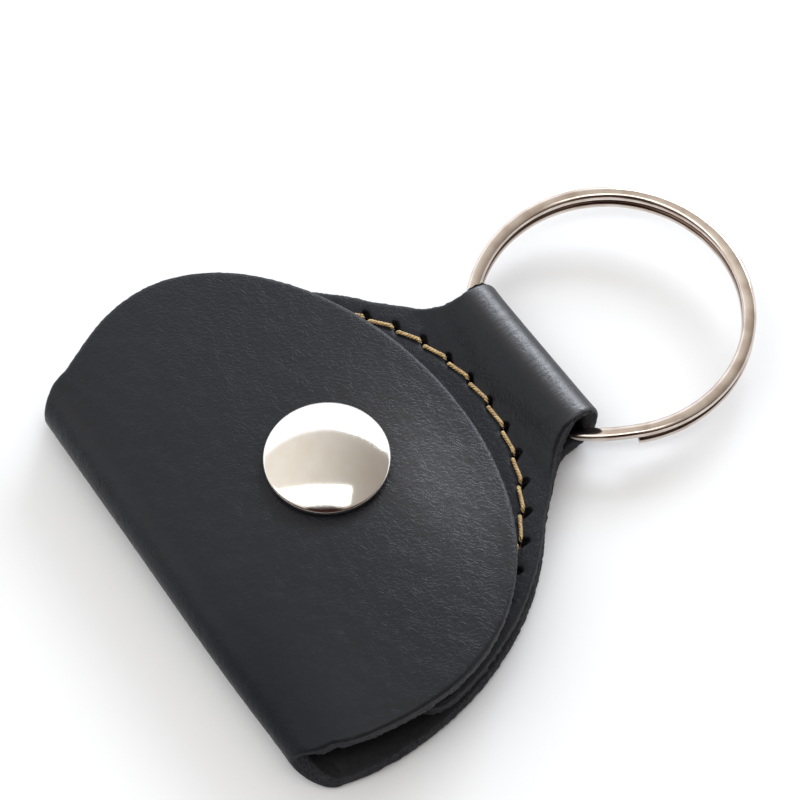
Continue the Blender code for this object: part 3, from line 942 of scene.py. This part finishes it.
def flap_leather(material):
    """Bottom fold and flap in one sheet, with the snap's hole."""
    path = flap_path()
    cuts = [(half, s) for half, s in zip(path.width, path.s)]
    cuts[-1] = (0.0, path.s[-1])
    flat_s = path.s[-1] - (FLAP_CENTRE_Y + FLAP_RISE - SNAP.y)
    rim = hand_cut(sheet_rim(cuts, path.width[0]), flat_s - SNAP.y)
    rim = skewed(rim, rim[:, 1] - FOLD_RADIUS * math.pi / 2)
    holes = [Hole((0, flat_s), 0, POST_HOLE, POST_HOLE, POST_SECTION, 32)]

    def relief(x, s, height):
        """A slow swell, the snap's print, the droop to the right and the lower right corner."""
        y = s - flat_s + SNAP.y
        swell = np.array([noise.noise(Vector((a, b, 7.0)) * 75.0) for a, b in zip(x, s)])
        pressed = -0.16 * MM * bell(np.hypot(x, s - flat_s), 7.0 * MM, power=4)
        to_right = np.clip((0.6 * x + 0.8 * (s - flat_s) - 3 * MM) / (14 * MM), 0, 1)
        from_corner = np.hypot(x - 23 * MM, y + 12 * MM)
        droop = -0.95 * MM * to_right ** 2 - 0.5 * MM * bell(from_corner, 7 * MM)
        from_seam = np.clip(s / (6 * MM), 0, 1)
        # Wear and sheen mask: painted sheen right of the snap towards the tip, and painted shade near the
        # fold and at its lower right corner.
        lit = bell(x - 7 * MM, 12 * MM) * bell(y - 13 * MM, 6.5 * MM)
        fold_shade = bell(y + 18 * MM, 8 * MM)
        corner_shade = bell(x - 19 * MM, 15 * MM) * bell(y + 16 * MM, 6 * MM)
        worn = 0.15 + 0.33 * lit - 0.15 * corner_shade - 0.06 * fold_shade
        return (0.07 * MM * swell + droop) * from_seam + pressed, worn

    sheet = Sheet(path, rim, holes, lambda x, s: np.zeros(x.shape, bool))
    made = wrap("flap_leather", sheet, material, relief, shag=1.3)
    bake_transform(made)
    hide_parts("fold_spine", "front_flap")


# Stitching.

def lengths(path):
    """Distance along a path to each of its points."""
    return list(accumulate(((b - a).length for a, b in zip(path, path[1:])), initial=0.0))


def frames(path):
    """Side and top directions along a path, turned as little as possible from point to point."""
    last = len(path) - 1
    found = []
    side = None
    for i in range(len(path)):
        forward = (path[min(i + 1, last)] - path[max(i - 1, 0)]).normalized()
        if side is None:
            side = forward.cross(Vector((0, 0, 1))).normalized()
        side = (side - forward * side.dot(forward)).normalized()
        found.append((side.copy(), side.cross(forward)))
    return found


def add_tube(mesh, path, section, flat, shift=0.0):
    """Sweep a section of (across, up) points along a path and cap both ends.

    Each vertex adds its flat place to the given list, shifted along by the given length.
    """
    rings = []
    for point, length, (side, top) in zip(path, lengths(path), frames(path)):
        ring = []
        for across, up in section:
            ring.append(mesh.verts.new(point + side * across + top * up))
            flat.append((length + shift, across, up))
        rings.append(ring)
    for first, second in zip(rings, rings[1:]):
        for corners in band(first, second):
            mesh.faces.new(corners)
    mesh.faces.new(rings[0])
    mesh.faces.new(rings[-1])


def stitch_line(level, depth):
    """Centre of one thread: it slants across the line between holes and dives steeply into each one."""
    toward = math.copysign(MM, depth)
    points = []

    def add(angle, along, out, z):
        """A point near the hole at the angle, along and outward from it in millimetres."""
        radius = STITCH_RADIUS + out * MM
        turned = angle + along * MM / STITCH_RADIUS
        points.append(Vector((radius * math.cos(turned), radius * math.sin(turned), z)))

    angles = hole_angles()
    for angle in angles:
        if angle != angles[0]:
            for along, out, sink in THREAD_DIVE:
                add(angle, along, out, level - sink * toward)
        add(angle, -0.16, 0.0, level - depth)
        add(angle, 0.16, 0.08, level - depth)
        if angle != angles[-1]:
            for along, out, sink in THREAD_RISE:
                add(angle, along, out, level - sink * toward)
            add(angle, STITCH_PITCH / MM / 2, 0.02, level - 0.04 * toward)
    return smooth_line(points)


def smooth_line(points):
    """Even points on a smooth curve through the given ones."""
    found = []
    count = len(points)
    for i in range(count - 1):
        before = points[max(i - 1, 0)]
        after = points[min(i + 2, count - 1)]
        first, last = points[i], points[i + 1]
        for k in range(8):
            t = k / 8
            slope_in = (last - before) * 0.5
            slope_out = (after - first) * 0.5
            curve = first * (2 * t ** 3 - 3 * t ** 2 + 1) + slope_in * (t ** 3 - 2 * t ** 2 + t)
            curve += last * (-2 * t ** 3 + 3 * t ** 2) + slope_out * (t ** 3 - t ** 2)
            found.append(curve)
    found.append(points[-1])
    return [Vector(p) for p in resample([tuple(p) for p in found], PATH_SPACING)]


def twisted_thread(name, line, node, material):
    """Plies laid round one line, each with its own stretch of the streaked fibre colour."""
    mesh = bmesh.new()
    flat = []
    stations = list(zip(line, lengths(line), frames(line)))
    section = [(THREAD_PLY * math.cos(a), THREAD_PLY * math.sin(a)) for a in full_turn(THREAD_SIDES)]
    lay = THREAD_PLY * 0.98
    for ply in range(THREAD_PLIES):
        path = []
        for point, length, (side, top) in stations:
            angle = 2 * math.pi * (length / THREAD_TWIST + ply / THREAD_PLIES)
            path.append(point + side * lay * math.cos(angle) + top * lay * math.sin(angle))
        add_tube(mesh, path, section, flat, shift=ply * 0.4)
    made = add_object(name, mesh, material)
    add_attributes(made.data, flat)
    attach(made, "pouch")
    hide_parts(node)


def add_stitching(material):
    """Needle thread on the pocket, pressed a little into the leather, and bobbin thread under the back."""
    upper = stitch_line(POCKET_TOP + 0.09 * MM, 1.5 * MM)
    lower = stitch_line(0.18 * MM, -1.2 * MM)
    twisted_thread("upper_stitches", upper, "needle_thread", material)
    twisted_thread("lower_stitches", lower, "bobbin_thread", material)


# Press snap.

def lathe(name, profile, material, body, node, closed=True):
    """Spin a profile of (radius, z) points in millimetres about the snap's centre line."""
    mesh = bmesh.new()
    flat = []
    rings = []
    for radius, z in profile:
        ring = []
        for angle in full_turn(LATHE_TURNS if radius else 1):
            spot = SNAP + Vector((radius * math.cos(angle), radius * math.sin(angle), z)) * MM
            ring.append(mesh.verts.new(spot))
            flat.append(tuple(spot))
        rings.append(ring)
    pairs = list(zip(rings, rings[1:]))
    if closed:
        pairs.append((rings[-1], rings[0]))
    for first, second in pairs:
        if len(first) == 1 or len(second) == 1:
            pole, edge = (first, second) if len(first) == 1 else (second, first)
            for start, end in zip(edge, edge[1:] + edge[:1]):
                mesh.faces.new((pole[0], start, end))
        else:
            for corners in band(first, second):
                mesh.faces.new(corners)
    made = add_object(name, mesh, material)
    add_attributes(made.data, flat)
    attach(made, body)
    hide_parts(node)


def rounded(profile, reach=0.05, count=3):
    """Round each corner of a closed profile by up to the given reach, in millimetres."""
    found = []
    total = len(profile)
    for i in range(total):
        before = Vector(profile[i - 1])
        corner = Vector(profile[i])
        after = Vector(profile[(i + 1) % total])
        back = before - corner
        forth = after - corner
        cut = min(reach, 0.45 * min(back.length, forth.length))
        first = corner + back.normalized() * cut
        last = corner + forth.normalized() * cut
        for k in range(count + 1):
            t = k / count
            found.append(tuple(first * (1 - t) ** 2 + corner * 2 * t * (1 - t) + last * t ** 2))
    return found


def snap_cap(material):
    """Dome with a rolled rim, hollow underneath; dome and roll meet about 60 degrees up the roll."""
    low = CAP_BOX[0].z / MM
    top = CAP_BOX[1].z / MM
    edge = CAP_RADIUS / MM + CAP_EXTRA_RADIUS - CAP_ROLL
    rim_z = low + CAP_ROLL
    dome = top - rim_z - CAP_ROLL * 0.86
    join = edge + CAP_ROLL * 0.51
    sphere = (join ** 2 + dome ** 2) / (2 * dome)
    centre = top - sphere
    reach = math.asin(join / sphere)
    profile = [(sphere * math.sin(a), centre + sphere * math.cos(a)) for a in steps(0, reach, 40)]
    start = math.pi / 2 - reach
    profile += [
        (edge + CAP_ROLL * math.cos(a), rim_z + CAP_ROLL * math.sin(a))
        for a in steps(start, -math.pi / 2, 10)[1:]]
    profile += [(CAP_MOUTH, low), (CAP_MOUTH, low + 0.1)]
    hollow = sphere - CAP_SKIN
    inner = math.asin((edge - CAP_SKIN) / hollow)
    profile += [(hollow * math.sin(a), centre + hollow * math.cos(a)) for a in steps(inner, 0, 16)]
    lathe("snap_cap", profile, material, "flap", "snap_cap_shell", closed=False)


def snap_insides(material):
    """Socket under the flap, stud on the pocket and the eyelet that holds it."""
    low = POCKET_TOP / MM
    high = FLAP_BOX[0].z / MM
    socket = [
        (1.8, high - 0.05), (5.0, high - 0.05), (5.2, high - 0.25), (5.2, low + 0.55), (5.0, low + 0.35),
        (3.9, low + 0.35), (3.7, low + 0.42), (3.2, low + 0.42), (2.95, low + 0.36), (2.95, low + 0.48),
        (3.25, low + 0.55), (3.25, high - 0.25), (1.8, high - 0.25),
    ]
    stud = [
        (1.72, low + 0.05), (4.5, low + 0.05), (4.6, low + 0.15), (4.5, low + 0.3), (2.6, low + 0.34),
        (2.35, low + 0.45), (2.35, low + 0.98), (2.7, low + 1.13), (2.8, low + 1.25), (2.7, low + 1.4),
        (2.4, low + 1.55), (2.1, low + 1.5), (2.1, low + 1.0), (1.72, low + 0.95),
    ]
    base = POCKET_BOX[0].z / MM + 0.05
    eyelet = [
        (1.25, base), (4.4, base), (4.4, base + 0.3), (1.6, base + 0.3), (1.6, low + 1.1), (1.9, low + 1.15),
        (1.95, low + 1.3), (1.7, low + 1.4), (1.25, low + 1.3),
    ]
    lathe("snap_socket_cup", rounded(socket), material, "flap", "snap_socket")
    lathe("snap_stud_post", rounded(stud), material, "pouch", "snap_stud")
    lathe("snap_stud_eyelet", rounded(eyelet), material, "pouch", "snap_eyelet")


# Split ring.

def wire_section():
    """Round wire, drawn a little square."""
    found = []
    for angle in full_turn(WIRE_SIDES):
        across = math.copysign(abs(math.cos(angle)) ** 0.85, math.cos(angle)) * WIRE_WIDTH / 2
        up = math.copysign(abs(math.sin(angle)) ** 0.85, math.sin(angle)) * WIRE_HEIGHT / 2
        found.append((across, up))
    return found


def key_ring(material):
    """One wire wound twice: it climbs from the lower coil to the upper one, with painted shade where the
    coils face each other.
    """
    climb = WIRE_START + 360 - WIRE_JOG
    end = WIRE_START + 720 - WIRE_JOG
    radius = RING_RADIUS - WIRE_WIDTH / 2
    half_pitch = (WIRE_HEIGHT + COIL_GAP) / 2
    path = []
    levels = []
    for degrees in steps(WIRE_START, end, 460):
        part = min(1.0, max(0.0, (degrees - climb) / WIRE_JOG))
        level = 2 * part * part * (3 - 2 * part) - 1
        angle = math.radians(degrees)
        path.append(Vector((radius * math.cos(angle), radius * math.sin(angle), half_pitch * level)))
        levels.append(level)
    mesh = bmesh.new()
    flat = []
    section = wire_section()
    add_tube(mesh, path, section, flat)
    made = add_object("key_ring", mesh, material)
    tilt = Matrix.Rotation(RING_PITCH, 4, "X") @ Matrix.Rotation(RING_ROLL, 4, "Y")
    made.data.transform(Matrix.Translation(RING_CENTRE) @ tilt)
    toward_other_coil = -np.outer(levels, [up / (WIRE_HEIGHT / 2) for _, up in section]).ravel()
    # Painted shade mask: dark brown on the wire's faces that turn towards the other coil.
    add_attributes(made.data, flat, grime=np.clip((toward_other_coil - 0.35) / 0.4, 0, 1))
    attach(made, "ring")
    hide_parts("split_ring")


def repaint(node, material):
    """Give a carried-over solid its finish."""
    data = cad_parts[node].data
    data.materials.clear()
    data.materials.append(material)
    flat = np.zeros(len(data.vertices) * 3, np.float32)
    data.vertices.foreach_get("co", flat)
    add_attributes(data, flat)


def build():
    add_camera()
    add_world()
    add_lights()
    add_floor()
    bpy.context.scene.view_settings.view_transform = "Standard"

    leather = leather_material()
    thread = thread_material()
    nickel = nickel_material("polished_nickel", (0.78, 0.75, 0.71, 1), (0.74, 0.70, 0.65, 1), 0.10)
    wire = nickel_material(
        "ring_nickel", (0.70, 0.62, 0.56, 1), (0.50, 0.41, 0.35, 1), 0.15, drawn=(0.25, 6.0, 6.0))
    steel = nickel_material("spring_steel", (0.55, 0.54, 0.52, 1), (0.48, 0.46, 0.43, 1), 0.25)

    pouch_leather(leather)
    flap_leather(leather)
    add_stitching(thread)
    snap_cap(nickel)
    snap_insides(nickel)
    key_ring(wire)
    repaint("snap_cap_post", nickel)
    repaint("snap_spring", steel)


build()
